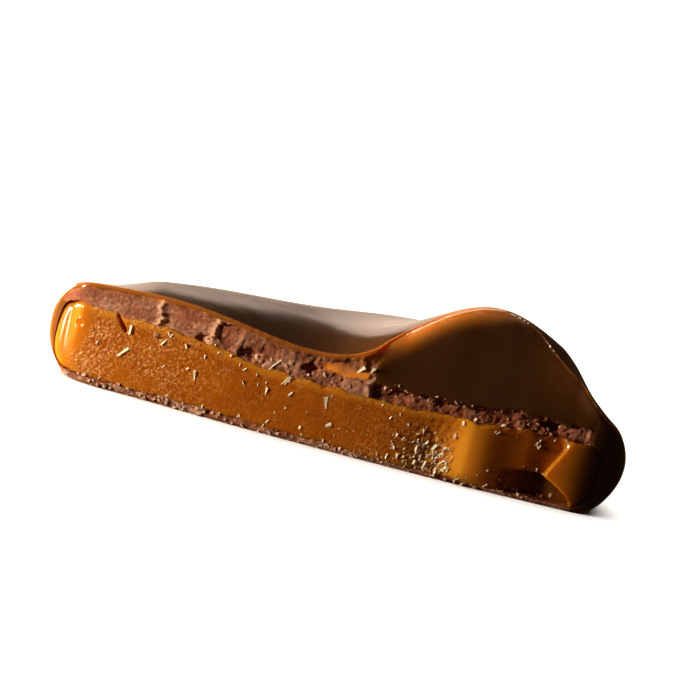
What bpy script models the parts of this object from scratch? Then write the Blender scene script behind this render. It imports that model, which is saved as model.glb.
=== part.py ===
# A piece of milk chocolate toffee, snapped by hand from an enrobed toffee slab.
# It is a shard with a long front break and a rounded back. The break shows the
# amber toffee between its chocolate coats. At the right, the chocolate stands up
# in a thick wave, which broke off along a smooth slanting face.
# Metres, +Z up. The piece lies on its flat underside, with the break facing -Y.

import math

import bmesh
import bpy
from mathutils import Vector, noise

MM = 0.001

# Outline of the piece, seen from above
LEFT_TIP = -27.7 * MM
RIGHT_END = 28.9 * MM
BACK_CORNERS = ((-28, -7.5), (-18, -1.5), (2, 14.6), (12, 16.4), (20.5, 12.5), (29, -6))
BREAK_FRONT = -13.5 * MM  # the break's foremost point
BREAK_BOW = 2.5 * MM  # how far the break's two ends lie behind it
SLAB_FRONT = -20 * MM  # the slab goes on this far before it is snapped
# Where the break turns back towards an end: its start, length and depth
LEFT_TURN = (-23.8 * MM, 4.3 * MM, 1.3 * MM)
RIGHT_TURN = (24.2 * MM, 4.6 * MM, 2.6 * MM)

# Chocolate coat
TOP_HEIGHT = 9.3 * MM
CROWN_X, CROWN_RISE, CROWN_SPREAD = -17 * MM, 0.7 * MM, 8 * MM
TROUGH_X, TROUGH_DROP, TROUGH_SPREAD = -1 * MM, 0.8 * MM, 8 * MM
WAVE_X, WAVE_Y, WAVE_RISE = 13.5 * MM, -4.5 * MM, 6.9 * MM
WAVE_LEFT, WAVE_RIGHT, WAVE_DEPTH = 9 * MM, 10.6 * MM, 13.5 * MM
DOME_LEFT, DOME_FULL, DOME_RISE, DOME_WIDTH = -23 * MM, -4 * MM, 0.7 * MM, 15 * MM
# The top falls towards the right end, and further towards its two far corners
END_START, END_FULL, END_FALL = 22 * MM, 26.5 * MM, 1.5 * MM
LEFT_CORNER = (-18 * MM, -24 * MM, -12.5 * MM, 0.16)  # start, full, from here back, slope
RIGHT_CORNER = (20.3 * MM, 25 * MM, -9.5 * MM, 0.2)
FOOT_INSET, TOP_INSET = 2.5 * MM, 1.3 * MM
LOWER_SHOULDER, UPPER_SHOULDER = 3 * MM, 2.8 * MM
END_RIM, BACK_RIM = 5 * MM, 3.8 * MM  # width of the rounded rim, at the ends and behind

# Toffee core, and the coat's thickness round it
CORE_LEFT, CORE_RIGHT = -26.8 * MM, 26.4 * MM
BACK_COAT = 2 * MM
UNDER_COAT = 0.75 * MM
CORE_TOP_LEFT, CORE_TOP_MIDDLE, CORE_TOP_RIGHT = 7.3 * MM, 6 * MM, 6.7 * MM
CORE_FOOT_INSET, CORE_TOP_INSET = 2.4 * MM, 0.9 * MM
CORE_LOWER_SHOULDER, CORE_UPPER_SHOULDER = 2.4 * MM, 1.8 * MM
CORE_END_RIM, CORE_BACK_RIM = 4 * MM, 3 * MM
GAP = 0.25 * MM  # between the core and its coat

# Slanting face of the broken wave
SLANT_FOOT = 8 * MM
SLANT_RUN = 1.15  # how far the face runs back for each step up
SLANT_START, SLANT_FULL, SLANT_EASE, SLANT_END = 0, 6 * MM, 16 * MM, 31 * MM

# Relief of the broken faces
CHIP_SIZE, CHIP_DEPTH = 2.6 * MM, 0.3 * MM
LEDGE_X, LEDGE_STEP = -17.3 * MM, 0.35 * MM  # the chocolate breaks in two planes here
GRAIN_SIZE, GRAIN_DEPTH = 3.5 * MM, 0.2 * MM
HOLLOW_START, HOLLOW_END, HOLLOW_DEPTH = 16 * MM, 22.6 * MM, 0.8 * MM
NOTCH_X, NOTCH_Z, NOTCH_DEPTH = 22.2 * MM, 1.4 * MM, 1.2 * MM
NOTCH_LONG, NOTCH_HIGH = 2.8 * MM, 1.6 * MM

# Cells of the slabs and of the broken faces, and the room that the break takes up
SLAB_CELLS = (20, 11, 3)
BREAK_CELLS = (64, 1, 32)
BREAK_LEFT, BREAK_RIGHT, BREAK_FAR = -32 * MM, 33 * MM, -30 * MM
BREAK_FLOOR, BREAK_TOP = -2 * MM, 22 * MM

CHOCOLATE = (0.165, 0.058, 0.022, 1)
TOFFEE = (0.47, 0.165, 0.02, 1)


def smooth(low, high, value):
    share = min(1, max(0, (value - low) / (high - low)))
    return share * share * (3 - 2 * share)


def bell(distance, spread):
    return math.exp(-((distance / spread) ** 2))


def between(start, end, share):
    return start + (end - start) * share


def back_edge(x):
    """The outline's back edge at x, straight from corner to corner."""
    corners = [(a * MM, b * MM) for a, b in BACK_CORNERS]
    for (x0, y0), (x1, y1) in zip(corners, corners[1:]):
        if x <= x1:
            break
    return between(y0, y1, (x - x0) / (x1 - x0))


def coat_top(x, y):
    wave_spread = WAVE_LEFT if x < WAVE_X else WAVE_RIGHT
    wave = bell(x - WAVE_X, wave_spread) * bell(y - WAVE_Y, WAVE_DEPTH)
    trough = bell(x - TROUGH_X, TROUGH_SPREAD) * bell(y - BREAK_FRONT, 2 * TROUGH_SPREAD)
    crown = bell(x - CROWN_X, CROWN_SPREAD)
    level = TOP_HEIGHT + CROWN_RISE * crown - TROUGH_DROP * trough + WAVE_RISE * wave
    inward = min(1, max(0, y - BREAK_FRONT) / DOME_WIDTH)
    dome = DOME_RISE * smooth(DOME_LEFT, DOME_FULL, x) * (1 - smooth(4 * MM, 12 * MM, x))
    level += dome * (1 - (1 - inward) ** 2) - END_FALL * smooth(END_START, END_FULL, x)
    for start, full, front, slope in (LEFT_CORNER, RIGHT_CORNER):
        level -= slope * smooth(start, full, x) * max(0, y - front)
    return level


def core_top(x, y):
    fall = (CORE_TOP_LEFT - CORE_TOP_MIDDLE) * smooth(-17 * MM, -4 * MM, x)
    rise = (CORE_TOP_RIGHT - CORE_TOP_MIDDLE) * smooth(6 * MM, 24 * MM, x)
    return CORE_TOP_LEFT - fall + rise


def turn_back(past, length, depth):
    share = min(1, max(0, past) / length)
    return depth * (1 - math.sqrt(1 - share ** 2))


def break_line(x):
    """Where the break runs, seen from above."""
    left_start, left_length, left_depth = LEFT_TURN
    right_start, right_length, right_depth = RIGHT_TURN
    turned = turn_back(left_start - x, left_length, left_depth)
    turned += turn_back(x - right_start, right_length, right_depth)
    return BREAK_FRONT + BREAK_BOW * (x / RIGHT_END) ** 2 + turned


def slant(x, z):
    """How far the broken wave's face has run back at this height."""
    share = smooth(SLANT_START, SLANT_FULL, x) * (1 - smooth(SLANT_EASE, SLANT_END, x))
    return SLANT_RUN * share * max(0, z - SLANT_FOOT)


def coat_break(x, z):
    chips = noise.noise(Vector((x, 0, z)) / CHIP_SIZE)
    rough = CHIP_DEPTH * chips * (1 - smooth(SLANT_FOOT, SLANT_FOOT + MM, z))
    ledge = LEDGE_STEP * smooth(LEDGE_X, LEDGE_X + MM, x)
    ledge *= 1 - smooth(0, SLANT_FULL, x)
    return break_line(x) + slant(x, z) + rough + ledge


def core_break(x, z):
    grain = GRAIN_DEPTH * noise.noise(Vector((x, MM, z)) / GRAIN_SIZE)
    hollow = smooth(HOLLOW_START - MM, HOLLOW_START + MM, x)
    hollow *= 1 - smooth(HOLLOW_END - MM, HOLLOW_END + MM, x)
    notch = bell(x - NOTCH_X, NOTCH_LONG) * bell(z - NOTCH_Z, NOTCH_HIGH)
    return break_line(x) + grain + HOLLOW_DEPTH * hollow + NOTCH_DEPTH * notch


def shaded(name, colour, roughness):
    material = bpy.data.materials.new(name)
    material.use_nodes = True
    shader = material.node_tree.nodes["Principled BSDF"]
    shader.inputs["Base Color"].default_value = colour
    shader.inputs["Roughness"].default_value = roughness
    return material


def split_cube(name, collection, cells, place):
    """A cube split into cells along X, Y and Z, each corner of which place() moves."""
    bpy.ops.mesh.primitive_cube_add(size=2)
    solid = bpy.context.object
    solid.name = name
    for user in list(solid.users_collection):
        user.objects.unlink(solid)
    collection.objects.link(solid)
    mesh = bmesh.new()
    mesh.from_mesh(solid.data)
    for axis, count in enumerate(cells):
        lengthwise = [
            edge
            for edge in mesh.edges
            if abs(edge.verts[0].co[axis] - edge.verts[1].co[axis]) > 0.5
        ]
        if count > 1:
            bmesh.ops.subdivide_edges(
                mesh, edges=lengthwise, cuts=count - 1, use_grid_fill=True
            )
    for corner in mesh.verts:
        steps = [round((c + 1) / 2 * n) for c, n in zip(corner.co, cells)]
        corner.co = place(*steps)
    bmesh.ops.recalc_face_normals(mesh, faces=mesh.faces)
    mesh.to_mesh(solid.data)
    mesh.free()
    return solid


def slab(name, collection, left, right, back, floor, lid, rims, insets, shoulders):
    """A soft-edged slab: a coarse cage under one level of subdivision. Its outer ring is
    drawn in at the foot and at the top, and its back follows the outline."""
    columns, rows, levels = SLAB_CELLS
    end_rim, back_rim = rims

    def place(i, j, k):
        inset = {0: insets[0], levels: insets[1]}.get(k, 0)
        if i in (0, columns):
            x = left + inset if i == 0 else right - inset
        else:
            x = between(left + end_rim, right - end_rim, (i - 1) / (columns - 2))
        edge = back_edge(x) - back
        y = between(SLAB_FRONT, edge - back_rim, j / (rows - 1))
        if j == rows:
            y = edge - inset
        top = lid(x, min(y, edge - back_rim))
        heights = [floor, floor + shoulders[0], top - shoulders[1], top]
        return x, y, heights[k]

    solid = split_cube(name, collection, SLAB_CELLS, place)
    soften = solid.modifiers.new("Soften", "SUBSURF")
    soften.levels = soften.render_levels = 1
    for face in solid.data.polygons:
        face.use_smooth = True
    return solid


def snapped_off(name, collection, face):
    """The part of the slab that was snapped off, whose back is the broken face."""
    columns, _, levels = BREAK_CELLS

    def place(i, j, k):
        x = between(BREAK_LEFT, BREAK_RIGHT, i / columns)
        z = between(BREAK_FLOOR, BREAK_TOP, k / levels)
        return x, face(x, z) if j else BREAK_FAR, z

    return split_cube(name, collection, BREAK_CELLS, place)


def cut(solid, cutter, name):
    cutter.hide_render = True
    cutter.display_type = "WIRE"
    difference = solid.modifiers.new(name, "BOOLEAN")
    difference.operation = "DIFFERENCE"
    difference.object = cutter


def centre_on_base(solids, everything):
    """Moves all so that the piece's box stands centred on the origin, at height 0."""
    bpy.context.view_layer.update()
    graph = bpy.context.evaluated_depsgraph_get()
    corners = []
    for solid in solids:
        mesh = solid.evaluated_get(graph).data
        corners += [solid.matrix_world @ point.co for point in mesh.vertices]
    low = Vector(min(corner[axis] for corner in corners) for axis in range(3))
    high = Vector(max(corner[axis] for corner in corners) for axis in range(3))
    middle = Vector(((low.x + high.x) / 2, (low.y + high.y) / 2, low.z))
    holder = bpy.data.objects.new("piece", None)
    solids[0].users_collection[0].objects.link(holder)
    for solid in everything:
        solid.parent = holder
    holder.location = -middle


def main():
    for leftover in list(bpy.data.objects):
        bpy.data.objects.remove(leftover)
    parts = bpy.data.collections.new("milk_chocolate_toffee")
    cutters = bpy.data.collections.new("cutters")
    for collection in (parts, cutters):
        bpy.context.scene.collection.children.link(collection)

    coat_form = (
        (END_RIM, BACK_RIM),
        (FOOT_INSET, TOP_INSET),
        (LOWER_SHOULDER, UPPER_SHOULDER),
    )
    core_form = (
        (CORE_END_RIM, CORE_BACK_RIM),
        (CORE_FOOT_INSET, CORE_TOP_INSET),
        (CORE_LOWER_SHOULDER, CORE_UPPER_SHOULDER),
    )
    coat = slab("chocolate_coat", parts, LEFT_TIP, RIGHT_END, 0, 0, coat_top, *coat_form)
    core = slab(
        "toffee_core", parts, CORE_LEFT, CORE_RIGHT, BACK_COAT,
        UNDER_COAT, core_top, *core_form,
    )
    pocket = slab(
        "pocket", cutters, CORE_LEFT - GAP, CORE_RIGHT + GAP, BACK_COAT - GAP,
        UNDER_COAT - GAP, lambda x, y: core_top(x, y) + GAP, *core_form,
    )
    coat_rest = snapped_off("coat_rest", cutters, coat_break)
    core_rest = snapped_off("core_rest", cutters, core_break)
    cut(coat, pocket, "Core pocket")
    cut(coat, coat_rest, "Break")
    cut(core, core_rest, "Break")

    coat.data.materials.append(shaded("milk_chocolate", CHOCOLATE, 0.28))
    core.data.materials.append(shaded("toffee", TOFFEE, 0.35))
    centre_on_base([coat, core], [coat, core, pocket, coat_rest, core_rest])


main()
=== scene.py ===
import math
import random

import bmesh
import bpy
from mathutils import Matrix, Vector, noise
from mathutils.bvhtree import BVHTree


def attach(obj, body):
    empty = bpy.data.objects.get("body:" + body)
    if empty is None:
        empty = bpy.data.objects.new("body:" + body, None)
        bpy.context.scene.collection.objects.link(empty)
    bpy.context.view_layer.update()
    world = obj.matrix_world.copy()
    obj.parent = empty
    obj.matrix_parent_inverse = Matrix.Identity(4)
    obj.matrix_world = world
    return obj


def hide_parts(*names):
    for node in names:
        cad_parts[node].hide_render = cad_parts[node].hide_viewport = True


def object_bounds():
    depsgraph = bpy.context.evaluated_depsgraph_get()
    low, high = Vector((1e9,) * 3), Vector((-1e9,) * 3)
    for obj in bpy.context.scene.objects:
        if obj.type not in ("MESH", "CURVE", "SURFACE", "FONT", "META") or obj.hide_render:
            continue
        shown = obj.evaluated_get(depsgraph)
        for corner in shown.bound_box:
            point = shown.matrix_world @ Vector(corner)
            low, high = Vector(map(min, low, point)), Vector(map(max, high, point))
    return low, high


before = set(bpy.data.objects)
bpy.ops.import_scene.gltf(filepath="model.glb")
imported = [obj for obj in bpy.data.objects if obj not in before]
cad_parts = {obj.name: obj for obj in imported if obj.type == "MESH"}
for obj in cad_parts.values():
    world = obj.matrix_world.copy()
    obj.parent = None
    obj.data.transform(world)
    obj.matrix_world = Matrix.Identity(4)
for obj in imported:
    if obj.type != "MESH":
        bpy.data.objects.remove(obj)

# A shard of milk chocolate toffee, snapped along its front. It is modelled in millimetres
# where its solids are: +X along the break, +Y to its back, +Z up. settle() turns each piece
# into metres and sets it in the frame.
cadLow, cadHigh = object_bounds()
metre = 0.001
noise.seed_set(1)  # the chips' pattern is the same on every run

# In all these values a single place is along X, and a pair of places is where something starts
# and where it is full.
outline = {
    "left": -27.7,
    "right": 28.9,
    "backCorners": ((-28, -7.5), (-18, -1.5), (2, 14.6), (12, 16.4), (20.5, 12.5), (29, -6)),
    "breakFront": -13.5,  # the break's foremost line
    "breakBow": 2.5,  # how far the break's ends lie behind its middle
    "leftTurn": (-23.8, 4.3, 1.3),  # the break turns back at its left end: start, length, depth
    "slabFront": -20,  # the whole slab reaches this far, before the break takes its front away
    "cells": (20, 11, 3),  # along X, Y and Z
}

coat = {
    "top": 9.3,
    "crown": (-15.5, 0.8, 8.5),  # place, rise and spread along X
    "trough": (-1, 0.8, 8, 34),  # place, drop, and spread along X and along Y
    "waveFoot": (2, -8),  # the wave's crest line runs from here to its highest place
    "wavePlace": (13.5, -4.5),
    "waveRise": 6.9,
    "waveSpread": (8.6, 10.6, 12.5),  # to the left, to the right, and to the back
    # the top falls to the break: depth and width at the left, then further right, where one
    # turns into the other, and where the fall ends under the wave
    "dome": ((0.1, 5), (0.75, 15), (-15.5, -1.5), (4, 12)),
    "dent": (19.5, -7.4, 4.2, 3.4, 0.5),  # place, spreads and depth, before a second crest
    # towards the far corners the top falls: from, full, behind, and by how much a millimetre
    "cornerFalls": ((-18, -24, -12.5, 0.16), (20.3, 25, -9.5, 0.2)),
    "endFall": (22, 26.5, 1.5),  # from, full, and depth
    "insets": (2.5, 1.3),  # its foot and its top are drawn in
    "shoulders": (3, 2.8),  # height of its lower and of its upper round edge
    "rims": (5, 3.8),  # width of the round edge at its ends and at its back
    "swell": (0.22, 9),  # depth and length of the skin's slow waves
    "ripple": (0.05, 2.6),
    # the share of both on the level top; the sides bulge and sag in drips
    "levelSwell": 0.08,
    "levelRipple": 0.05,
    "slimSides": 0.3,
    "firmFoot": (0.3, 2),  # below this the skin stays plain, so that the foot is flat
}

core = {
    "left": -26.8,
    "right": 26.4,
    "backCoat": 2,
    "underCoat": 0.75,
    "thinFoot": (0.28, -6, 8),  # the coat under it is thinner at the right: by, from, full
    "tops": (7.3, 6, 6.7),  # height at the left, in the middle and at the right
    "topTurns": ((-17, -4), (6, 24)),
    "insets": (1.3, 0.6),
    "shoulders": (1.5, 1.2),
    "rims": (2.2, 3),
    "uneven": (0.34, 1.5),  # depth and length of its uneven upper and lower borders
    "unevenReach": (-9, -6),
    "bond": 0.02,  # the coat keeps this clear of it
}

chocolateBreak = {
    "slantFoot": 8,  # the slanting face leans back from this height, by this a millimetre
    "slantRun": 1.15,
    "slantStart": (-0.5, 6),
    "facetStart": (3.3, 3.9),  # the smooth slanting face begins at a ragged edge
    "slantEase": (16, 31),
    "slantEnd": (22.5, 25.5, 0.75),  # from, full, and the share that it loses
    "rimRound": 0.4,  # radius of the skin's edge along the break
    "rimSkin": (0.38, 0.3),  # the skin's gloss runs this far round the edge, give or take
    "sunk": (0.1, -24, -16),  # the broken chocolate lies behind the rim: by, from, full
    "ledges": ((-17.3, 0.2, 0.1), (-12.1, 0.18, 0.08)),  # place, lip and step of each
    "ledgesEnd": (-2, 3),
    "busy": ((-17.8, -17.2), (-13, -11.5)),  # the break grows rough in two stages
    # size and depth of each
    "striae": (0.5, 0.05),
    "chips": (2.3, 0.28),
    "crumble": (0.8, 0.15),
    "grit": (0.3, 0.09),
    # place along and up, half length, half height and depth
    "pits": ((-12.9, 7.2, 1, 0.5, 0.5), (-8.4, 7, 1.2, 0.6, 0.6), (-2.4, 7.2, 1, 0.5, 0.8)),
    "scoop": (-1.8, 3.3, 7.35, 8.4),  # from, to, low and high
    "scoopDepth": (0.6, 0.65),  # at its left end, and its rise to the right one
    "rollLeft": (1.3, 0.75),  # the slanting face rolls over to its crest: width and depth
    "rollRight": (0.6, 0.12),
    "peak": (12, 19),  # from the left roll to the right one
    "bandTop": (7.35, 8.1, 11, 17),  # its upper edge steps up along the break
    "bandWander": (1.2, 0.3),  # its size and depth
    "bandHollow": (0.5, 5.5, 6.5),  # depth, and the height from which it is hollow
    "bubble": (20.9, 7.5, 0.95, 0.45, 0.9),
    "lip": (-22, 0.45, 3.2, 0.9),  # the under coat juts out: place, how far, length, height
    "endTurn": (24.2, 4.6, 2.6),  # from here the break turns back: start, length, depth
    "wrapBack": (-27.3, -24.6, 0.8),  # the coat's left edge lies behind the bulging toffee
    "wrapWidth": 0.8,  # past the core's left end the coat's skin turns in
}

toffeeBreak = {
    "swell": (5, 0.14),  # size and depth, as of its grain
    "grain": (0.32, 0.08),
    "fineGrain": (0.17, 0.045),
    # the toffee is smooth at its left end, grainy, less so from the middle on, smooth at its
    # ridge, and smooth along its top at the right
    "grainStarts": (-23.6, 1.2, 2, 5),  # place, lead of its foot, and the height of the lead
    "grainWanes": (-16, -7, 0.3),
    "grainReturns": (1, 5, 0.35),
    "grainStops": (11.8, 12.8),
    "smoothTop": ((4.6, 5.4), (4, 8)),
    "leftRound": (0.8, -26, -23.5),  # radius of its left end, which ends between these
    "edgeRound": 0.22,
    "ridge": (14, 1.2, 3.2, 0.5),  # place, spread to the left and to the right, and rise
    "hollow": (17.3, 2.4, 0.3, 0.65),  # its soft start, and depth there and at the lobe
    "hollowDeepens": (19, 21.5),
    "lobe": ((21.4, 3.0), (22.7, 5.6)),  # the hollow ends at this sharp edge
    "leftLean": (-25.8, -24.6, 0.12),  # its left end leans back by this a millimetre
    "notch": (20.7, 24.3, 2.9, 1, 17, 1.4),  # its edge: from, to, high, low; its start and depth
    "cluster": (10.6, 2.4, 2, 2.8),  # place and spreads of the splintered hollow
    "clusterChips": (0.55, 0.3, 0.6),  # their size and depth, and how deep the hollow is
    "crack": ((-21.2, 7.1), (-20.2, 5.9), 0.16, 0.5),  # head, foot, width and depth
    "bubble": (-24.6, 5.4, 0.42, 0.12),  # place, radius and depth
}

breakGrid = {
    "left": -30.5,
    "right": 31.5,
    "floor": -0.6,
    "far": -26,
    "coat": (17.4, 0.13),  # top and cell of each grid
    "core": (9.4, 0.1),
}


def smoothStep(low, high, value):
    share = min(1, max(0, (value - low) / (high - low)))
    return share * share * (3 - 2 * share)


def bell(distance, spread):
    return math.exp(-((distance / spread) ** 2))


def between(start, end, share):
    return start + (end - start) * share


def wander(x, y, z, size):
    return noise.noise(Vector((x, y, z)) / size)


def chips(x, z, size, seed):
    # flat broken facets, each with a tilt and a depth of its own, about -0.5 to 0.5
    place = Vector((x, seed, z)) / size
    centre = noise.voronoi(place, distance_metric="DISTANCE")[1][0]
    tilt = noise.noise_vector(centre * 5.7)
    return 0.7 * tilt.z + tilt.x * (place.x - centre.x) + tilt.y * (place.z - centre.z)


def backEdge(x):
    corners = outline["backCorners"]
    for (x0, y0), (x1, y1) in zip(corners, corners[1:]):
        if x <= x1:
            break
    return between(y0, y1, (x - x0) / (x1 - x0))


def breakLine(x):
    turnX, turnLong, turnDepth = outline["leftTurn"]
    turned = min(1, max(0, turnX - x) / turnLong)
    turn = turnDepth * (1 - math.sqrt(1 - turned ** 2))
    return outline["breakFront"] + outline["breakBow"] * (x / outline["right"]) ** 2 + turn


def coatTop(x, y):
    crownX, crownRise, crownSpread = coat["crown"]
    troughX, troughDrop, troughLong, troughWide = coat["trough"]
    waveX, waveY = coat["wavePlace"]
    toLeft, toRight, toBack = coat["waveSpread"]
    footX, footY = coat["waveFoot"]
    crestY = between(footY, waveY, smoothStep(footX, waveX, x))
    wave = bell(x - waveX, toLeft if x < waveX else toRight) * bell(y - crestY, toBack)
    inward = y - outline["breakFront"]
    trough = troughDrop * bell(x - troughX, troughLong) * bell(inward, troughWide)
    (leftHeight, leftWidth), (height, width), reach, ending = coat["dome"]
    height = between(leftHeight, height, smoothStep(*reach, x))
    width = between(leftWidth, width, smoothStep(*reach, x))
    dome = height * (1 - (1 - min(1, max(0, inward) / width)) ** 2)
    dome *= 1 - smoothStep(*ending, x)
    rise = crownRise * bell(x - crownX, crownSpread) + coat["waveRise"] * wave
    return coat["top"] + rise - trough + dome


def topRelief(x, y):
    dentX, dentY, dentLong, dentWide, dentDepth = coat["dent"]
    start, full, depth = coat["endFall"]
    fall = dentDepth * bell(x - dentX, dentLong) * bell(y - dentY, dentWide)
    fall += depth * smoothStep(start, full, x)
    for start, full, front, slope in coat["cornerFalls"]:
        fall += slope * smoothStep(start, full, x) * max(0, y - front)
    return -fall


def coreTop(x, y):
    left, middle, right = core["tops"]
    falls, rises = core["topTurns"]
    fall = (left - middle) * smoothStep(*falls, x)
    return left - fall + (right - middle) * smoothStep(*rises, x)


def slant(x, z):
    # how far the face leans back at this height
    start, full = chocolateBreak["slantStart"]
    share = smoothStep(start, full, x) * (1 - smoothStep(*chocolateBreak["slantEase"], x))
    ending, ended, lost = chocolateBreak["slantEnd"]
    share *= 1 - lost * smoothStep(ending, ended, x)
    return chocolateBreak["slantRun"] * share * max(0, z - chocolateBreak["slantFoot"])


def splitCube(cells, place):
    # a cube split into cells along X, Y and Z, each corner of which place() moves
    mesh = bmesh.new()
    bmesh.ops.create_cube(mesh, size=2)
    for axis, count in enumerate(cells):
        lengthwise = [
            edge for edge in mesh.edges
            if abs(edge.verts[0].co[axis] - edge.verts[1].co[axis]) > 0.5
        ]
        bmesh.ops.subdivide_edges(mesh, edges=lengthwise, cuts=count - 1, use_grid_fill=True)
    for corner in mesh.verts:
        corner.co = place(*(round((c + 1) / 2 * n) for c, n in zip(corner.co, cells)))
    bmesh.ops.recalc_face_normals(mesh, faces=mesh.faces)
    return mesh


def makePiece(name, mesh):
    data = bpy.data.meshes.new(name)
    mesh.to_mesh(data)
    mesh.free()
    piece = bpy.data.objects.new(name, data)
    bpy.context.scene.collection.objects.link(piece)
    return piece


def takeModifiersIn(piece):
    bpy.context.view_layer.update()
    graph = bpy.context.evaluated_depsgraph_get()
    finished = bpy.data.meshes.new_from_object(piece.evaluated_get(graph))
    piece.modifiers.clear()
    old = piece.data
    piece.data = finished
    bpy.data.meshes.remove(old)


def softSlab(name, left, right, back, floor, lid, form, levels):
    # a slab with soft edges, drawn in at its foot and at its top
    columns, rows, storeys = outline["cells"]
    endRim, backRim = form["rims"]

    def place(i, j, k):
        inset = {0: form["insets"][0], storeys: form["insets"][1]}.get(k, 0)
        if i in (0, columns):
            x = left + inset if i == 0 else right - inset
        else:
            x = between(left + endRim, right - endRim, (i - 1) / (columns - 2))
        edge = backEdge(x) - back
        y = between(outline["slabFront"], edge - backRim, j / (rows - 1))
        if j == rows:
            y = edge - inset
        top = lid(x, min(y, edge - backRim))
        heights = (floor, floor + form["shoulders"][0], top - form["shoulders"][1], top)
        return x, y, heights[k]

    slab = makePiece(name, splitCube(outline["cells"], place))
    soften = slab.modifiers.new("Soften", "SUBSURF")
    soften.levels = soften.render_levels = levels
    takeModifiersIn(slab)
    return slab


def waveSkin(slab):
    # slow swells and small ripples of the poured chocolate; the foot stays flat
    swellDepth, swellSize = coat["swell"]
    rippleDepth, rippleSize = coat["ripple"]
    mesh = slab.data
    normals = [point.normal.copy() for point in mesh.vertices]
    for point, normal in zip(mesh.vertices, normals):
        x, y, z = point.co
        side = 1 - abs(normal.z)
        lift = smoothStep(*coat["firmFoot"], z)
        swell = swellDepth * wander(x, y, z * 0.4, swellSize)
        ripple = rippleDepth * wander(x + 40, y, z, rippleSize)
        depth = between(coat["levelSwell"], 1, side) * swell
        depth += between(coat["levelRipple"], 1, side) * ripple
        point.co += normal * lift * (depth - coat["slimSides"] * swellDepth * side)
        point.co.z += topRelief(x, y) * smoothStep(2.5, 9, z)


def unevenCore(slab):
    # the toffee set unevenly: its upper and lower faces wander where the break shows them
    depth, size = core["uneven"]
    thinner, *thinReach = core["thinFoot"]
    mesh = slab.data
    normals = [point.normal.copy() for point in mesh.vertices]
    for point, normal in zip(mesh.vertices, normals):
        x, y, z = point.co
        near = 1 - smoothStep(*core["unevenReach"], y)
        part = 1 if normal.z > 0 else 0.5
        rough = wander(x, y, 3 if normal.z > 0 else 8, size)
        rough += 0.5 * wander(x, y, 11 if normal.z > 0 else 17, 0.4 * size)
        point.co.z += near * part * depth * rough * abs(normal.z)
        if normal.z < 0:
            point.co.z -= near * thinner * smoothStep(*thinReach, x) * abs(normal.z)


def swollenCopy(piece, thickness):
    copied = piece.copy()
    copied.data = piece.data.copy()
    bpy.context.scene.collection.objects.link(copied)
    normals = [point.normal.copy() for point in copied.data.vertices]
    for point, normal in zip(copied.data.vertices, normals):
        point.co += normal * thickness
    return copied


def treeOf(piece):
    mesh = bmesh.new()
    mesh.from_mesh(piece.data)
    tree = BVHTree.FromBMesh(mesh)
    mesh.free()
    return tree


def breakBlock(name, face, extent, tree, paint=None):
    # what was snapped off: a fine grid with the break's relief, closed to a block in front
    top, cell = extent
    columns = round((breakGrid["right"] - breakGrid["left"]) / cell)
    rows = round((top - breakGrid["floor"]) / cell)
    mesh = bmesh.new()
    bmesh.ops.create_grid(mesh, x_segments=columns, y_segments=rows, size=1)
    for corner in mesh.verts:
        x = between(breakGrid["left"], breakGrid["right"], (corner.co.x + 1) / 2)
        z = between(breakGrid["floor"], top, (corner.co.y + 1) / 2)
        corner.co = (x, face(x, z, tree), z)
    if paint:
        for part in mesh.faces:
            part.material_index = paint(*part.calc_center_median(), tree)
    border = [edge for edge in mesh.edges if edge.is_boundary]
    grown = bmesh.ops.extrude_edge_only(mesh, edges=border)["geom"]
    for corner in (item for item in grown if isinstance(item, bmesh.types.BMVert)):
        corner.co.y = breakGrid["far"]
    border = [edge for edge in mesh.edges if edge.is_boundary]
    bmesh.ops.contextual_create(mesh, geom=border)
    bmesh.ops.recalc_face_normals(mesh, faces=mesh.faces)
    return makePiece(name, mesh)


def skinDepth(x, y, z, tree):
    return tree.find_nearest(Vector((x, y, z)))[3]


def roundedBack(depth, radius):
    # how far a rounded edge falls back at this depth under the skin
    share = max(0, 1 - depth / radius)
    return radius * (1 - math.sqrt(1 - min(1, share) ** 2))


def endBack(x):
    start, length, depth = chocolateBreak["endTurn"]
    turned = min(1, max(0, x - start) / length)
    return depth * (1 - math.sqrt(1 - turned ** 2))


def ledgeEdge(place, z):
    return place + 0.7 * wander(place, 0, z, 1.1) + 0.25 * wander(place, 5, z, 0.3)


def ledgeRelief(x, z):
    relief = 0
    for place, lip, step in chocolateBreak["ledges"]:
        edge = ledgeEdge(place, z)
        relief += step * smoothStep(edge + 0.1, edge + 0.7, x) - lip * bell(x - edge, 0.3)
    return relief


def brokenRelief(x, z):
    # chips, crumble and grit of broken chocolate; behind the break's plain face is positive
    look = chocolateBreak
    first, second = look["busy"]
    busy = between(0.1, 0.4, smoothStep(*first, x)) + 0.6 * smoothStep(*second, x)
    busy = max(busy, 1 - smoothStep(0.7, 1.1, z)) + 0.5 * smoothStep(3, 4, x)
    chipSize, chipDepth = look["chips"]
    crumbleSize, crumbleDepth = look["crumble"]
    gritSize, gritDepth = look["grit"]
    striaSize, striaDepth = look["striae"]
    relief = busy * chipDepth * chips(x, z * 1.4, chipSize, 5)
    relief += busy * crumbleDepth * chips(x, z, crumbleSize, 9)
    relief += between(0.1, 1, busy) * gritDepth * wander(x, 2, z, gritSize)
    return relief + striaDepth * wander(x, 4, z / 6, striaSize)


def rimWidth(x):
    width, change = chocolateBreak["rimSkin"]
    return width + change * (wander(x, 0, 2, 2.4) + 0.6 * wander(x, 0, 7, 0.7))


def bandEdge(x):
    size, depth = chocolateBreak["bandWander"]
    ragged = depth * wander(x, 0, 0, size) + 0.5 * depth * wander(x, 3, 0, size / 3)
    low, high, *reach = chocolateBreak["bandTop"]
    return between(low, high, smoothStep(*reach, x)) + ragged


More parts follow.
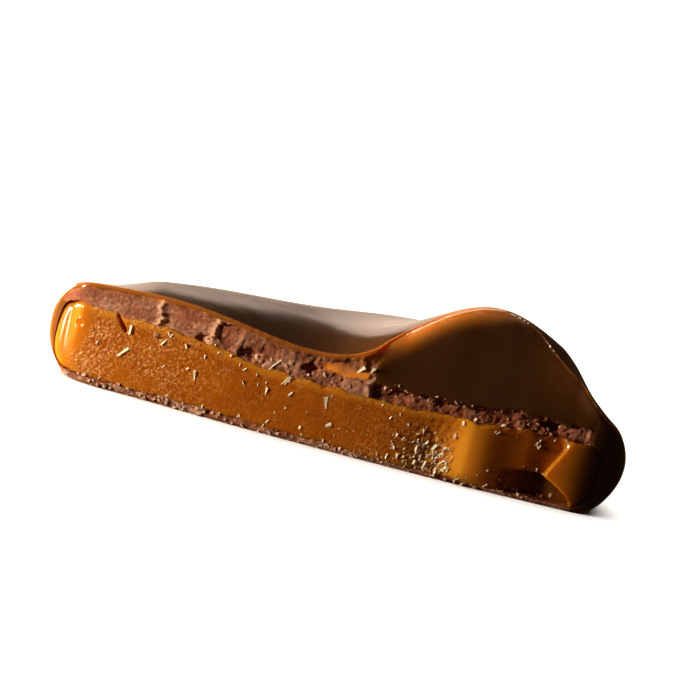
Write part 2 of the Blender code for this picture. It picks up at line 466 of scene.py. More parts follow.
def slantShare(x, z):
    # 1 on the smooth slanting face, 0 elsewhere
    start, full = chocolateBreak["facetStart"]
    edge = 0.3 * wander(0, 6, z, 0.5)
    share = smoothStep(start + edge, full + edge, x) * smoothStep(-0.15, 0.15, z - bandEdge(x))
    return share * (1 - smoothStep(0, 1, x - chocolateBreak["endTurn"][0]))


def pitDepth(x, z):
    look = chocolateBreak
    depth = 0
    for pitX, pitZ, long, high, deep in (*look["pits"], look["bubble"]):
        hole = ((x - pitX) / long) ** 2 + ((z - pitZ) / high) ** 2
        hole *= 1 + 0.9 * wander(x, 13, z, 0.45)
        depth += deep * (1 - smoothStep(0.25, 1, hole))
    return depth


def scoopShare(x, z):
    left, right, low, high = chocolateBreak["scoop"]
    inside = smoothStep(left, left + 0.8, x) * (1 - smoothStep(right - 0.3, right, x))
    lower = low + 0.35 * wander(x, 8, 0, 1.3) + 0.1 * wander(x, 8, 0, 0.3)
    upper = high + 0.4 * wander(x, 9, 0, 1.7)
    return inside * smoothStep(lower, lower + 0.2, z) * (1 - smoothStep(upper - 0.5, upper, z))


def chocolateFace(x, z, tree):
    look = chocolateBreak
    y = breakLine(x) + slant(x, z) + endBack(x)
    depth = skinDepth(x, y, z, tree)
    onSlant = slantShare(x, z)
    onEnd = smoothStep(0, 1, x - look["endTurn"][0])
    scoop = scoopShare(x, z)
    broken = (1 - onSlant) * (1 - onEnd) * smoothStep(-0.1, 0.25, depth - rimWidth(x)) * (1 - scoop)
    ledge = ledgeRelief(x, z) * (1 - smoothStep(*look["ledgesEnd"], x))
    sunk, *sunkReach = look["sunk"]
    y += broken * (sunk * smoothStep(*sunkReach, x) + ledge + brokenRelief(x, z))

    start, full = look["facetStart"]
    band = smoothStep(start, full, x) * (1 - smoothStep(-0.2, 0.1, z - bandEdge(x)))
    bandDepth, *bandReach = look["bandHollow"]
    y += (1 - onEnd) * bandDepth * band * smoothStep(*bandReach, z)
    y += pitDepth(x, z)
    left, right = look["scoop"][:2]
    scoopDepth, scoopRise = look["scoopDepth"]
    y += scoop * (scoopDepth - scoopRise * (x - left) / (right - left))
    lipX, lipOut, lipLong, lipHigh = look["lip"]
    y -= lipOut * bell(x - lipX, lipLong) * (1 - smoothStep(lipHigh - 0.3, lipHigh, z))

    overPeak = smoothStep(*look["peak"], x)
    (leftWidth, leftDepth), (rightWidth, rightDepth) = look["rollLeft"], look["rollRight"]
    width = between(leftWidth, rightWidth, overPeak)
    y += onSlant * between(leftDepth, rightDepth, overPeak) * max(0, 1 - depth / width) ** 2
    y += 0.03 * onSlant * wander(x, 0, z, 3)
    start, full, back = look["wrapBack"]
    y += back * (1 - smoothStep(start, full, x))
    return max(y, outline["breakFront"]) + roundedBack(depth, look["rimRound"])


def chocolatePaint(x, y, z, tree):
    # 0 is skin, 1 broken and 2 the smooth slanting face
    wrap = x < core["left"] + chocolateBreak["wrapWidth"] and z < core["tops"][0] - 0.4
    if wrap or x > chocolateBreak["endTurn"][0] + 0.4:
        return 0
    if z > 1.2 and skinDepth(x, y, z, tree) < rimWidth(x):
        return 0
    return 2 if slantShare(x, z) > 0.5 else 1


def grainShare(x, z):
    # how grainy the toffee broke: strongly at the left, little in the glassy middle
    look = toffeeBreak
    start, lead, *leadHeight = look["grainStarts"]
    waning, waned, rest = look["grainWanes"]
    returning, returned, more = look["grainReturns"]
    height, along = look["smoothTop"]
    left = start - lead * (1 - smoothStep(*leadHeight, z))
    share = smoothStep(left - 0.5, left + 0.5, x) * between(1, rest, smoothStep(waning, waned, x))
    share += more * smoothStep(returning, returned, x)
    share *= 0.75 + 0.7 * wander(x, 12, z, 1.6)
    share *= 1 - smoothStep(*look["grainStops"], x)
    return share * (1 - smoothStep(*height, z) * smoothStep(*along, x))


def lobeShare(x, z):
    (edgeX, edgeZ), (farX, farZ) = toffeeBreak["lobe"]
    edgeAt = between(edgeX, farX, min(1, max(0, (z - edgeZ) / (farZ - edgeZ))))
    soft = 0.13 + 0.7 * max(0, edgeZ - z, z - farZ)
    return smoothStep(edgeAt - soft, edgeAt + soft, x)


def clusterShare(x, z):
    clusterX, clusterZ, long, high = toffeeBreak["cluster"]
    return bell(x - clusterX, long) * bell(z - clusterZ, high)


def toffeeFace(x, z, tree):
    look = toffeeBreak
    swellSize, swellDepth = look["swell"]
    y = breakLine(x) + 0.95 * endBack(x) + swellDepth * wander(x, 7, z, swellSize)
    depth = skinDepth(x, y, z, tree)
    grainy = grainShare(x, z) * smoothStep(0.05, 0.4, depth)
    grainSize, grainDepth = look["grain"]
    fineSize, fineDepth = look["fineGrain"]
    y += grainy * grainDepth * chips(0.8 * x + 0.4 * z, 1.4 * z - 0.7 * x, grainSize, 1)
    y += grainy * fineDepth * wander(x, 3, z, fineSize)
    chipSize, chipDepth, hollowDepth = look["clusterChips"]
    chipRelief = chipDepth * chips(x + 0.5 * z, 1.3 * z - 0.5 * x, chipSize, 4)
    y += clusterShare(x, z) * (hollowDepth + chipRelief)

    ridgeX, toLeft, toRight, ridgeRise = look["ridge"]
    y -= ridgeRise * bell(x - ridgeX, toLeft if x < ridgeX else toRight) * smoothStep(0, 1.5, z)
    start, side, deep, deepest = look["hollow"]
    hollow = smoothStep(start - side, start + side, x)
    hollow *= between(deep, deepest, smoothStep(*look["hollowDeepens"], x))
    y += hollow * (1 - lobeShare(x, z))
    tip, end, high, low, start, deep = look["notch"]
    edge = high - (high - low) * min(1, max(0, x - tip) / (end - tip)) ** 1.5
    notch = smoothStep(0, between(1.2, 0.2, smoothStep(start, tip, x)), edge - z)
    y += deep * notch * smoothStep(start, tip, x) * (1 - smoothStep(end - 0.1, end + 0.15, x))

    (headX, headZ), (footX, footZ), crackWide, crackDeep = look["crack"]
    along = Vector((footX - headX, footZ - headZ))
    share = (Vector((x - headX, z - headZ)) @ along) / along.length_squared
    off = (Vector((x - headX, z - headZ)) - along * min(1, max(0, share))).length
    y += crackDeep * (1 - smoothStep(0.4 * crackWide, 1.4 * crackWide, off))
    bubbleX, bubbleZ, bubbleRadius, bubbleDepth = look["bubble"]
    ring = math.hypot(x - bubbleX, z - bubbleZ) / bubbleRadius
    y += bubbleDepth * (1 - smoothStep(0.6, 1, ring)) - 0.5 * bubbleDepth * bell(ring - 1.05, 0.2)
    start, full, lean = look["leftLean"]
    y += lean * max(0, z - 1) * (1 - smoothStep(start, full, x))
    leftRadius, *leftReach = look["leftRound"]
    radius = between(leftRadius, look["edgeRound"], smoothStep(*leftReach, x))
    return max(y, outline["breakFront"]) + roundedBack(depth, radius)


def cutAway(piece, cutter, name):
    difference = piece.modifiers.new(name, "BOOLEAN")
    difference.operation = "DIFFERENCE"
    difference.solver = "MANIFOLD"
    difference.object = cutter
    takeModifiersIn(piece)


def sharpenEdges(piece, degrees):
    piece.data.shade_smooth()
    piece.data.set_sharp_from_angle(angle=math.radians(degrees))


print("modelling the coat and the core")
coatPiece = softSlab(
    "milkChocolateCoat", outline["left"], outline["right"], 0, 0, coatTop, coat, 3
)
waveSkin(coatPiece)
corePiece = softSlab(
    "amberToffee", core["left"], core["right"], core["backCoat"], core["underCoat"],
    coreTop, core, 3,
)
unevenCore(corePiece)
skins = {"coat": treeOf(coatPiece), "core": treeOf(corePiece)}

pocket = swollenCopy(corePiece, core["bond"])

print("snapping the shard along its break")
chocolateRest = breakBlock(
    "chocolateRest", chocolateFace, breakGrid["coat"], skins["coat"], chocolatePaint
)
toffeeRest = breakBlock("toffeeRest", toffeeFace, breakGrid["core"], skins["core"])


def paintPoints(piece, name, measure):
    # a value from 0 to 1 at each point, which the materials read
    values = piece.data.attributes.new(name, "FLOAT", "POINT").data
    for value, point in zip(values, piece.data.vertices):
        value.value = min(1, max(0, measure(*point.co)))


def paintedGlowShare(x, y, z):
    # painted glow: along the crest of the break, on the wrap at the left end and in the scoop the
    # colour is painted a lit orange, standing in for light that shines through the narrow edge and
    # light that falls there
    look = rimGlowPaint
    rising = smoothStep(*look["risingFrom"], x) * (1 - smoothStep(*look["risingTo"], x))
    plain = between(look["plain"], look["right"], smoothStep(*look["risingTo"], x))
    reach = between(look["plainReach"], look["risingReach"], rising)
    reach = between(reach, look["rightReach"], smoothStep(*look["risingTo"], x))
    depth = skinDepth(x, y, z, skins["coat"])
    behind = max(0, y - chocolateFace(x, z, skins["coat"]))
    edge = max(0, 1 - depth / reach) * max(0, 1 - behind / look["behind"]) * smoothStep(1.2, 3, z)
    share = between(plain, 1.6, rising) * edge ** between(1.3, 1.8, rising)
    onFace = 1 if behind < 0.05 else 0
    wrapShare, *wrapReach = look["wrap"]
    wrap = wrapShare * (1 - smoothStep(*wrapReach, x)) * smoothStep(0, 1.5, z)
    lit = scoopShare(x, z) * (0.85 + 0.9 * wander(x, 14, 2 * z, 1.1))
    return max(share, onFace * lit, wrap)


def toneHighlightShadeShare(x, y, z):
    # painted highlight and shade: the ledge edges, the ragged edge and the broken crests are
    # painted lighter, as if lit, and the hollows darker, as if in shade; the band under the
    # slanting face is painted darker, as in its shade, the left end is darker too, and the tone
    # wanders at random
    if y - chocolateFace(x, z, skins["coat"]) > 0.05:
        return 0
    look = toneHighlightShadeLook
    edges = [ledgeEdge(ledge[0], z) for ledge in chocolateBreak["ledges"]]
    edge = sum(bell(x - place - 0.05, look["edgeWidth"]) for place in edges)
    start, full = chocolateBreak["facetStart"]
    ragged = bell(x - start - 0.3 * wander(0, 6, z, 0.5), look["raggedWidth"])
    ragged *= 1 - smoothStep(9, 9.8, z)
    rightDark, *rightReach = look["right"]
    leftDark, *leftReach = look["left"]
    toneHighlightShade = look["plain"] - rightDark * smoothStep(*rightReach, x) * smoothStep(2, 4, z)
    toneHighlightShade -= leftDark * (1 - smoothStep(*leftReach, x))
    toneHighlightShade += look["edge"] * edge + look["ragged"] * ragged - look["relief"] * brokenRelief(x, z)
    return toneHighlightShade + 0.5 * wander(x, 11, z, 0.25) + 0.3 * wander(x, 15, 2 * z, 2)


def paintedToffeeGlow(x, y, z):
    # painted glow: the toffee's colour is painted a lit orange at its left end, its ridge, along
    # its upper lip, on its lobe and in its splintered hollow, where light falls on it and shines
    # through it
    look = paintedToffeeLightShade
    leftShare, *leftReach = look["left"]
    left = leftShare * (1 - smoothStep(*leftReach, x))
    ridgeX, ridgeSpread = look["ridge"]
    upperShare, *upperReach = look["upper"]
    upper = upperShare * smoothStep(*upperReach, z - coreTop(x, y) + core["tops"][1])
    upper *= 1 - smoothStep(*look["upperEnds"], x)
    share, *reach = look["lobe"]
    lobe = share * lobeShare(x, z) * (1 - smoothStep(*reach, x))
    cluster = look["cluster"] * clusterShare(x, z)
    return max(left, bell(x - ridgeX, ridgeSpread), upper, lobe, cluster)


def shaded(x, y, z):
    # towards its right end and deep behind the break the toffee looks dark
    share, *reach = paintedToffeeLightShade["deepShade"]
    deep = share * smoothStep(*reach, y - breakLine(x))
    return max(smoothStep(*paintedToffeeLightShade["shade"], x), deep)


def material(name):
    made = bpy.data.materials.new(name)
    made.use_nodes = True
    return made


def addNode(tree, kind, inputs, **settings):
    made = tree.nodes.new(kind)
    for name, value in settings.items():
        setattr(made, name, value)
    for name, value in inputs.items():
        socket = made.inputs[name]
        if isinstance(value, bpy.types.NodeSocket):
            tree.links.new(value, socket)
        else:
            socket.default_value = value
    return made


def setShader(made, **values):
    shader = made.node_tree.nodes["Principled BSDF"]
    for name, value in values.items():
        socket = shader.inputs[name.replace("_", " ")]
        if isinstance(value, bpy.types.NodeSocket):
            made.node_tree.links.new(value, socket)
        else:
            socket.default_value = value


def groupTree(name, inputs, outputs):
    tree = bpy.data.node_groups.new(name, "ShaderNodeTree")
    for label, value in inputs.items():
        socket = tree.interface.new_socket(label, in_out="INPUT", socket_type="NodeSocketFloat")
        socket.default_value = value
    for label in outputs:
        tree.interface.new_socket(label, in_out="OUTPUT", socket_type="NodeSocketFloat")
    return tree, tree.nodes.new("NodeGroupInput"), tree.nodes.new("NodeGroupOutput")


def buildMottle():
    # slow patches with finer ones in them: a mask from 0 to 1, and the plain height
    tree, given, made = groupTree(
        "mottle", {"Scale": 200, "Low": 0.35, "High": 0.65}, ["Mask", "Height"]
    )
    place = addNode(tree, "ShaderNodeTexCoord", {})
    patches = addNode(tree, "ShaderNodeTexNoise", {
        "Vector": place.outputs["Object"], "Scale": given.outputs["Scale"],
        "Detail": 5, "Roughness": 0.6,
    })
    spread = addNode(tree, "ShaderNodeMapRange", {
        "Value": patches.outputs["Fac"], "From Min": given.outputs["Low"],
        "From Max": given.outputs["High"],
    })
    tree.links.new(spread.outputs["Result"], made.inputs["Mask"])
    tree.links.new(patches.outputs["Fac"], made.inputs["Height"])
    return tree


def buildGrain():
    # broken grains: a cell pattern roughened by noise, and a mask that picks some cells
    tree, given, made = groupTree(
        "brokenGrain", {"Scale": 3000, "Blend": 0.5, "Picked": 0.6}, ["Height", "Speck", "Fleck"]
    )
    place = addNode(tree, "ShaderNodeTexCoord", {})
    cells = addNode(tree, "ShaderNodeTexVoronoi", {
        "Vector": place.outputs["Object"], "Scale": given.outputs["Scale"],
    })
    rough = addNode(tree, "ShaderNodeTexNoise", {
        "Vector": place.outputs["Object"], "Scale": given.outputs["Scale"],
        "Detail": 6, "Roughness": 0.65,
    })
    mixed = addNode(tree, "ShaderNodeMix", {
        "Factor": given.outputs["Blend"], "A": cells.outputs["Distance"],
        "B": rough.outputs["Fac"],
    })
    tone = addNode(tree, "ShaderNodeSeparateColor", {"Color": cells.outputs["Color"]})
    picked = addNode(tree, "ShaderNodeMapRange", {
        "Value": tone.outputs["Green"], "From Min": given.outputs["Picked"], "From Max": 1,
    })
    tree.links.new(mixed.outputs["Result"], made.inputs["Height"])
    tree.links.new(tone.outputs["Red"], made.inputs["Speck"])
    tree.links.new(picked.outputs["Result"], made.inputs["Fleck"])
    return tree


def useGroup(tree, group, values):
    made = tree.nodes.new("ShaderNodeGroup")
    made.node_tree = group
    for name, value in values.items():
        made.inputs[name].default_value = value
    return made


def painted(tree, name):
    return addNode(tree, "ShaderNodeAttribute", {}, attribute_name=name).outputs["Fac"]


def mixedColour(tree, mask, first, second):
    made = tree.nodes.new("ShaderNodeMix")
    made.data_type = "RGBA"
    tree.links.new(mask, made.inputs[0])
    for socket, value in ((made.inputs[6], first), (made.inputs[7], second)):
        if isinstance(value, bpy.types.NodeSocket):
            tree.links.new(value, socket)
        else:
            socket.default_value = (*value, 1)
    return made.outputs[2]


def multiplied(tree, first, second):
    return addNode(tree, "ShaderNodeMath", {0: first, 1: second}, operation="MULTIPLY").outputs[0]


def ranged(tree, value, low, high):
    return addNode(tree, "ShaderNodeMapRange", {
        "Value": value, "To Min": low, "To Max": high,
    }).outputs["Result"]


def bumped(tree, height, strength, distance, under=None):
    inputs = {"Height": height, "Strength": strength, "Distance": distance}
    if under is not None:
        inputs["Normal"] = under
    return addNode(tree, "ShaderNodeBump", inputs).outputs["Normal"]


mottle = buildMottle()
grain = buildGrain()

# painted glow: where the wave rises along the break, the glow's share and reach there and further
# right, how far behind the break it is painted, and its share on the wrap at the left end
rimGlowPaint = {
    "risingFrom": (0.5, 3), "risingTo": (12.5, 18),  # along the break, where the wave rises
    "plain": 0.6, "right": 0.45,
    "plainReach": 0.7, "risingReach": 1.8, "rightReach": 0.25,
    "behind": 0.5,  # light comes through this far behind the break
    "wrap": (0.2, -27, -25.5),  # share at the left end, and where it ends
}
# painted highlight and shade of the broken chocolate, with a random wander of its tone
toneHighlightShadeLook = {
    "plain": 0.2,
    "right": (0.3, 3, 4.5), "left": (0.25, -26, -23),  # darker by this, and between these
    "edge": 1.1, "edgeWidth": 0.28, "ragged": 0.8, "raggedWidth": 0.22, "relief": 1.1,
}
# painted glow and painted shade of the toffee
paintedToffeeLightShade = {
    "left": (0.6, -25.4, -22.6),  # share, and where it ends
    "ridge": (13.6, 2.2),
    "upper": (0.5, 5, 5.8), "upperEnds": (15, 19),
    "lobe": (0.6, 23, 25.5),
    "cluster": 0.6,
    "shade": (22.2, 25.8), "deepShade": (0.7, 0.4, 1.6),
}
# the skin's third colour is a painted lit orange along the crest; glow and glowReach are its real
# subsurface scattering
skinLook = {
    "light": (0.125, 0.045, 0.014), "dark": (0.085, 0.03, 0.008), "paintedGlow": (0.88, 0.28, 0.04),
    "gloss": (0.09, 0.14), "glow": 0.35, "glowReach": 0.0014,
}
brokenLook = {
    "light": (0.43, 0.126, 0.058), "dark": (0.18, 0.047, 0.019), "toneHighlightShade": (0.85, 0.48, 0.32),
    "roughness": (0.7, 0.95),
}
# the third colour here is the painted lit orange along the crest and in the scoop
facetLook = {
    "light": (0.1, 0.032, 0.005), "dark": (0.075, 0.023, 0.002), "paintedGlow": (1, 0.31, 0.02),
    "roughness": (0.28, 0.4),
}
# glow is the painted lit orange and shade the painted dark of the toffee; glowReach is its real
# subsurface reach
toffeeLook = {
    "light": (0.54, 0.14, 0.004), "dark": (0.44, 0.098, 0.002), "glow": (1, 0.36, 0.025),
    "fleck": (0.9, 0.42, 0.11), "shade": (0.05, 0.014, 0.002), "roughness": (0.16, 0.5),
    "glowReach": 0.0022,
}
# the toffee splinters are real broken bits; their near-white colour is also a painted glint of
# light on them
splinterGlintLook = {"light": (1, 0.93, 0.76), "dark": (1, 0.78, 0.48), "roughness": (0.1, 0.35)}
crumbLook = {"light": (0.95, 0.68, 0.53), "dark": (0.5, 0.22, 0.14), "roughness": (0.4, 0.75)}


def chocolateSkin():
    made = material("glossyMilkChocolate")
    tree = made.node_tree
    patches = useGroup(tree, mottle, {"Scale": 160}).outputs["Mask"]
    fine = useGroup(tree, grain, {"Scale": 2500, "Blend": 0.8}).outputs["Height"]
    slow = useGroup(tree, mottle, {"Scale": 330, "Low": 0.2, "High": 0.8})
    swells = bumped(tree, slow.outputs["Height"], 0.1, 0.0001)
    plain = mixedColour(tree, patches, skinLook["dark"], skinLook["light"])
    setShader(
        made,
        # painted glow: the skin turns a lit orange where the glow is painted
        Base_Color=mixedColour(tree, painted(tree, "paintedGlow"), plain, skinLook["paintedGlow"]),
        Roughness=ranged(tree, slow.outputs["Mask"], *skinLook["gloss"]),
        Normal=bumped(tree, fine, 0.1, 0.00002, swells),
        Subsurface_Weight=skinLook["glow"], Subsurface_Scale=skinLook["glowReach"],
        Subsurface_Radius=(1, 0.32, 0.12), IOR=1.5,
    )
    return made


def chocolateBroken():
    made = material("brokenMilkChocolate")
    tree = made.node_tree
    patches = useGroup(tree, mottle, {"Scale": 520, "Low": 0.3, "High": 0.7}).outputs["Mask"]
    grains = useGroup(tree, grain, {"Scale": 5200, "Blend": 0.5, "Picked": 0.75})
    plain = mixedColour(tree, patches, brokenLook["dark"], brokenLook["light"])
    # painted highlight and shade: lighter where the broken chocolate is painted lit, darker where
    # it is painted shaded
    toneHighlightShade = mixedColour(tree, painted(tree, "toneHighlightShade"), plain, brokenLook["toneHighlightShade"])
    setShader(
        made,
        # painted glow: a lit orange where the glow is painted
        Base_Color=mixedColour(tree, painted(tree, "paintedGlow"), toneHighlightShade, facetLook["paintedGlow"]),
        Roughness=ranged(tree, grains.outputs["Speck"], *brokenLook["roughness"]),
        Normal=bumped(tree, grains.outputs["Height"], 0.35, 0.0001),
        Subsurface_Weight=0.2, Subsurface_Scale=0.001, Subsurface_Radius=(1, 0.32, 0.12),
        IOR=1.45, Specular_IOR_Level=0.3,
    )
    return made


def chocolateFacet():
    made = material("smoothBrokenChocolate")
    tree = made.node_tree
    patches = useGroup(tree, mottle, {"Scale": 260})
    plain = mixedColour(tree, patches.outputs["Mask"], facetLook["dark"], facetLook["light"])
    setShader(
        made,
        # painted glow: a lit orange where the glow is painted
        Base_Color=mixedColour(tree, painted(tree, "paintedGlow"), plain, facetLook["paintedGlow"]),
        Roughness=ranged(tree, patches.outputs["Mask"], *facetLook["roughness"]),
        Normal=bumped(tree, patches.outputs["Height"], 0.15, 0.0002),
        Subsurface_Weight=0.5, Subsurface_Scale=0.001, Subsurface_Radius=(1, 0.3, 0.08),
        IOR=1.5,
    )
    return made


def toffeeMaterial():
    made = material("amberToffee")
    tree = made.node_tree
    patches = useGroup(tree, mottle, {"Scale": 420}).outputs["Mask"]
    grains = useGroup(tree, grain, {"Scale": 5600, "Blend": 0.4, "Picked": 0.5})
    grainy = painted(tree, "grainy")
    plain = mixedColour(tree, patches, toffeeLook["dark"], toffeeLook["light"])
    # painted glow where the toffee is painted lit, then painted shade towards its right end
    lit = mixedColour(tree, painted(tree, "glow"), plain, toffeeLook["glow"])
    lit = mixedColour(tree, painted(tree, "shade"), lit, toffeeLook["shade"])
    flecks = multiplied(tree, grains.outputs["Fleck"], grainy)
    rough = multiplied(tree, grains.outputs["Height"], grainy)
    dull = multiplied(tree, grains.outputs["Speck"], grainy)
    fine = bumped(tree, grains.outputs["Height"], 0.08, 0.0001)
    setShader(
        made,
        Base_Color=mixedColour(tree, flecks, lit, toffeeLook["fleck"]),
        Roughness=ranged(tree, dull, *toffeeLook["roughness"]),
        Normal=bumped(tree, rough, 0.55, 0.00012, fine),
        Subsurface_Weight=0.6, Subsurface_Scale=toffeeLook["glowReach"],
        Subsurface_Radius=(1, 0.42, 0.1), IOR=1.48,
    )
    return made


def crumbMaterial(name, look):
    made = material(name)
    tree = made.node_tree
    grains = useGroup(tree, grain, {"Scale": 1400, "Blend": 0.3})
    setShader(
        made,
        Base_Color=mixedColour(tree, grains.outputs["Speck"], look["dark"], look["light"]),
        Roughness=ranged(tree, grains.outputs["Fleck"], *look["roughness"]),
        IOR=1.48,
    )
    return made


print("mixing the materials")
coatMaterials = [chocolateSkin(), chocolateBroken(), chocolateFacet()]
for piece in (coatPiece, chocolateRest, pocket):
    for each in coatMaterials:
        piece.data.materials.append(each)
for part in pocket.data.polygons:
    part.material_index = 1
amber = toffeeMaterial()
for piece in (corePiece, toffeeRest):
    piece.data.materials.append(amber)

cutAway(coatPiece, pocket, "corePocket")
cutAway(coatPiece, chocolateRest, "break")
cutAway(corePiece, toffeeRest, "break")
for helper in (pocket, chocolateRest, toffeeRest):
    bpy.data.objects.remove(helper)

print("painting where it is thin, pale, grainy and glowing")
# painted glow on the chocolate
paintPoints(coatPiece, "paintedGlow", paintedGlowShare)
# painted highlight and shade on the broken chocolate
paintPoints(coatPiece, "toneHighlightShade", toneHighlightShadeShare)
paintPoints(corePiece, "grainy", lambda x, y, z: grainShare(x, z))
# painted glow of the toffee
paintPoints(corePiece, "glow", paintedToffeeGlow)
paintPoints(corePiece, "shade", shaded)

# real splinters of toffee, many of them set where bright glints of light show; their near-white
# colour also stands in for those glints
toffeeSplinters = {
    # from, to, low, high, how many, shortest, longest
    "zones": (
        (-23, -9, 0.8, 6.6, 14, 0.15, 0.4),
        (-18.5, -4, 5.6, 6.8, 7, 0.25, 0.5),
        (-9, 8, 0.8, 5.8, 26, 0.15, 0.45),
        (6.5, 12.4, 0.6, 4.6, 70, 0.12, 0.5),
        (9, 12.6, 0.5, 3.2, 90, 0.15, 0.6),
        (4, 22, 5.4, 6.6, 12, 0.15, 0.45),
        (13, 21, 0.4, 5, 8, 0.15, 0.3),
        (-26, 20, 0.6, 1, 26, 0.15, 0.35),
        # larger ones, one at each place
        (-19.8, -19.7, 6.1, 6.2, 1, 0.7, 0.7),
        (-19.8, -19.6, 3.9, 4, 1, 1.3, 1.3),
        (-16.4, -16.3, 5.9, 6, 1, 0.7, 0.7),
        (-14.3, -14.2, 6.1, 6.2, 1, 0.5, 0.5),
        (-12.9, -12.8, 3.6, 3.7, 1, 0.75, 0.75),
        (-8.2, -8.1, 4.1, 4.2, 1, 0.55, 0.55),
        (-5.9, -5.8, 6.6, 6.7, 1, 1.4, 1.4),
        (-4.4, -4.3, 5.4, 5.5, 2, 0.9, 1),
        (-6, -5.9, 4, 4.1, 1, 0.6, 0.6),
        (-0.3, -0.2, 4.4, 4.5, 1, 0.9, 0.9),
        (0.5, 0.6, 2.4, 2.5, 1, 0.6, 0.6),
        (2.2, 3.3, 8.3, 8.4, 2, 0.9, 1),
        (16.3, 16.4, 6.3, 6.4, 1, 0.6, 0.6),
        (19.8, 20.4, 5.2, 5.6, 3, 0.35, 0.4),
        (18.8, 19.6, 0.4, 0.6, 2, 0.45, 0.5),
        (22.3, 22.7, 0.7, 0.9, 2, 0.4, 0.5),
    ),
    "slimness": (0.28, 0.6),
    "thickest": 0.3,
    "taper": (0.2, 0.9),
    "lean": (70, 140),  # degrees, turned from the break's length
    "seed": 11,
}
chocolateCrumbs = {
    "zones": (
        (-25, 22, 0.1, 0.6, 120, 0.12, 0.4),
        (-18, 3.4, 6.2, 7.6, 30, 0.12, 0.4),
        (3.4, 24, 6.5, 7.9, 50, 0.12, 0.4),
        (-17.5, -17.1, 6.2, 8.6, 7, 0.15, 0.4),
        (-12.3, -12, 6.5, 8.1, 5, 0.15, 0.4),
        (-26, -12, 0.3, 0.8, 30, 0.15, 0.45),
    ),
    "slimness": (0.5, 0.95),
    "thickest": 1,
    "taper": (0.5, 1),
    "lean": (0, 180),
    "seed": 5,
}
# how far a bit stands out, as a share of its width, how far before the break it may reach, its
# lowest point and its bevelled edge
bedding = {"out": 0.12, "ahead": 0.05, "lowest": 0.03, "bevel": 0.025}


def scatter(name, look, trees):
    # small broken bits, each a cube knocked out of shape, bedded in the broken face
    draw = random.Random(look["seed"])
    whole = bmesh.new()
    ahead = outline["breakFront"] - bedding["ahead"]
    for left, right, low, high, count, shortest, longest in look["zones"]:
        for index in range(count):
            x = between(left, right, (index + draw.random()) / count)
            z = between(low, high, draw.random())
            long = between(shortest, longest, draw.random() ** 2)
            slim = min(long * draw.uniform(*look["slimness"]), look["thickest"])
            lean = math.radians(draw.uniform(*look["lean"]))
            start = Vector((x, breakGrid["far"], z))
            hits = [tree.ray_cast(start, Vector((0, 1, 0))) for tree in trees]
            hits = [hit for hit in hits if hit[0] is not None]
            if not hits:
                continue
            place, normal = min(hits, key=lambda hit: hit[3])[:2]
            turn = Matrix.Rotation(lean, 4, "Y") @ Matrix.Rotation(draw.uniform(0.3, 1.2), 4, "X")
            turn @= Matrix.Rotation(draw.uniform(-0.3, 0.3), 4, "Z")
            stretch = Matrix.Diagonal((long / 2, slim / 2.4, slim / 2, 1))
            middle = Matrix.Translation(place + normal * slim * bedding["out"])
            taper = draw.uniform(*look["taper"])
            bit = bmesh.ops.create_cube(whole, size=2)["verts"]
            for corner in bit:
                if corner.co.x > 0:
                    corner.co.yz *= taper
                corner.co += Vector(draw.uniform(-0.4, 0.4) for axis in range(3))
                corner.co = middle @ turn @ stretch @ corner.co
                corner.co.y = max(corner.co.y, ahead)
                corner.co.z = max(corner.co.z, bedding["lowest"])
    bmesh.ops.bevel(
        whole, geom=whole.edges[:], offset=bedding["bevel"], offset_type="OFFSET", segments=1,
        affect="EDGES", profile=0.5, material=-1, clamp_overlap=True,
    )
    bmesh.ops.recalc_face_normals(whole, faces=whole.faces)
    return makePiece(name, whole)


print("scattering crumbs")
brokenFaces = [treeOf(coatPiece), treeOf(corePiece)]
splinterPiece = scatter("toffeeSplinters", toffeeSplinters, brokenFaces)
splinterPiece.data.materials.append(crumbMaterial("paleToffeeSplintersAndGlints", splinterGlintLook))
crumbPiece = scatter("chocolateCrumbs", chocolateCrumbs, brokenFaces)
crumbPiece.data.materials.append(crumbMaterial("milkChocolateCrumbs", crumbLook))
for piece in (coatPiece, corePiece, splinterPiece, crumbPiece):
    print(piece.name, len(piece.data.polygons), "faces")


def settle(pieces):
    # millimetres into metres, with the pieces' common box centred in the frame's
    points = [point.co for piece in pieces[:2] for point in piece.data.vertices]
    low = Vector(min(co[axis] for co in points) for axis in range(3))
    high = Vector(max(co[axis] for co in points) for axis in range(3))
    middle = (cadLow + cadHigh) / 2 - metre * (low + high) / 2
    middle.z = cadLow.z - metre * low.z
    place = Matrix.Translation(middle) @ Matrix.Scale(metre, 4)
    for piece in pieces:
        piece.data.transform(place)


settle([coatPiece, corePiece, splinterPiece, crumbPiece])
sharpenEdges(coatPiece, 42)
sharpenEdges(corePiece, 60)
for piece, slot in (
    (coatPiece, "milk_chocolate"), (corePiece, "toffee"),
    (splinterPiece, "toffee"), (crumbPiece, "milk_chocolate"),
):
    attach(piece, "root")
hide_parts("chocolate_coat")
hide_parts("toffee_core")

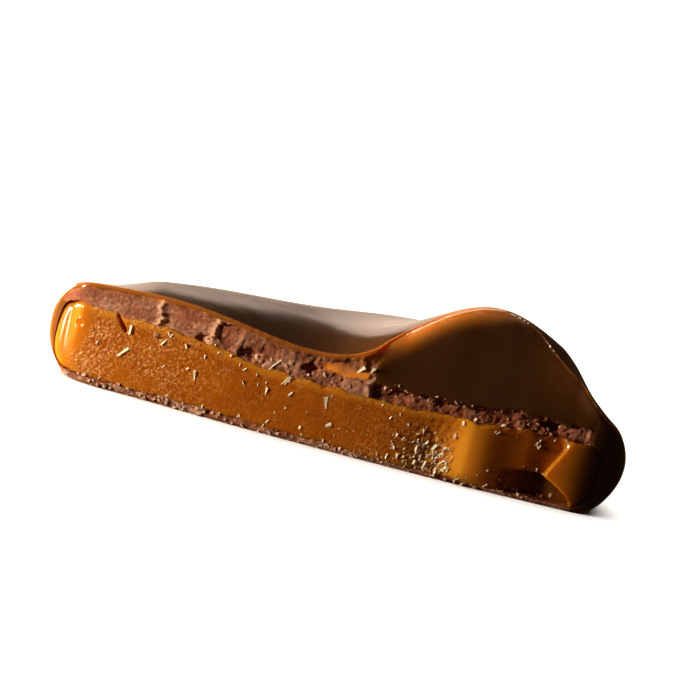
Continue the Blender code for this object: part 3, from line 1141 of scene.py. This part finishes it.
print("setting the stage")
studio = {
    "floorSize": 6, "floorColour": (0.86, 0.855, 0.85),
    "world": (1, 0.55, 0.27), "worldLight": 0.035,
}
view = {"elevation": 10, "roll": 15, "distance": 0.45, "width": 8.6, "aim": (0, -0.001, 0.0075)}
lights = {
    # place, aim, size, watts and colour
    "sideLight": (
        (-0.14, -0.075, 0.022), (-0.005, -0.012, 0.006), (0.034, 0.034), 0.29, (1, 0.87, 0.66)
    ),
    "rimLight": ((-0.2, 0.06, 0.03), (0, 0, 0.008), (0.1, 0.05), 1, (1, 0.84, 0.64)),
    # its reflection is the sheen on the top
    "backGlow": ((-0.47, 0.6, -0.04), (-0.47, 0, -0.04), (1, 0.33), 1.15, (1, 0.76, 0.6)),
    "topStrip": ((0, 0.25, 0.3), (0, 0, 0.008), (0.3, 0.016), 0.2, (1, 0.84, 0.66)),
}
floorLight = ((0, 0.1, 1.2), (0, 0.1, 0), (1.6, 1.6), 34, (1, 0.985, 0.97))


def addLight(name, place, aim, size, power, colour, receivers=None):
    light = bpy.data.lights.new(name, "AREA")
    light.shape = "RECTANGLE"
    light.size, light.size_y = size
    light.energy = power
    light.color = colour
    lamp = bpy.data.objects.new(name, light)
    bpy.context.scene.collection.objects.link(lamp)
    lamp.location = place
    lamp.rotation_euler = (Vector(aim) - Vector(place)).to_track_quat("-Z", "Y").to_euler()
    lamp.visible_camera = False
    if receivers:
        lamp.light_linking.receiver_collection = receivers


floorMesh = bmesh.new()
bmesh.ops.create_grid(floorMesh, x_segments=8, y_segments=8, size=studio["floorSize"] / 2)
floor = makePiece("floor", floorMesh)
floorLook = material("paleFloor")
setShader(floorLook, Base_Color=(*studio["floorColour"], 1), Roughness=0.9)
floor.data.materials.append(floorLook)
floorOnly = bpy.data.collections.new("floorOnly")
bpy.context.scene.collection.children.link(floorOnly)
floorOnly.objects.link(floor)
# the floor only shows: it lights nothing on the shard and isn't mirrored in it
floor.visible_diffuse = False
floor.visible_glossy = False
for name, values in lights.items():
    addLight(name, *values)
addLight("floorWash", *floorLight, floorOnly)

world = bpy.data.worlds.new("studio")
world.use_nodes = True
sky = world.node_tree.nodes["Background"]
sky.inputs["Color"].default_value = (*studio["world"], 1)
sky.inputs["Strength"].default_value = studio["worldLight"]
bpy.context.scene.world = world
bpy.context.scene.view_settings.view_transform = "Standard"

camera = bpy.data.objects.new("camera", bpy.data.cameras.new("camera"))
bpy.context.scene.collection.objects.link(camera)
elevation = math.radians(view["elevation"])
aim = Vector(view["aim"])
back = Vector((0, -math.cos(elevation), math.sin(elevation)))
camera.location = aim + back * view["distance"]
turn = (-back).to_track_quat("-Z", "Y").to_matrix().to_4x4()
turn @= Matrix.Rotation(math.radians(view["roll"]), 4, "Z")
camera.rotation_euler = turn.to_euler()
camera.data.angle = math.radians(view["width"])
bpy.context.scene.camera = camera
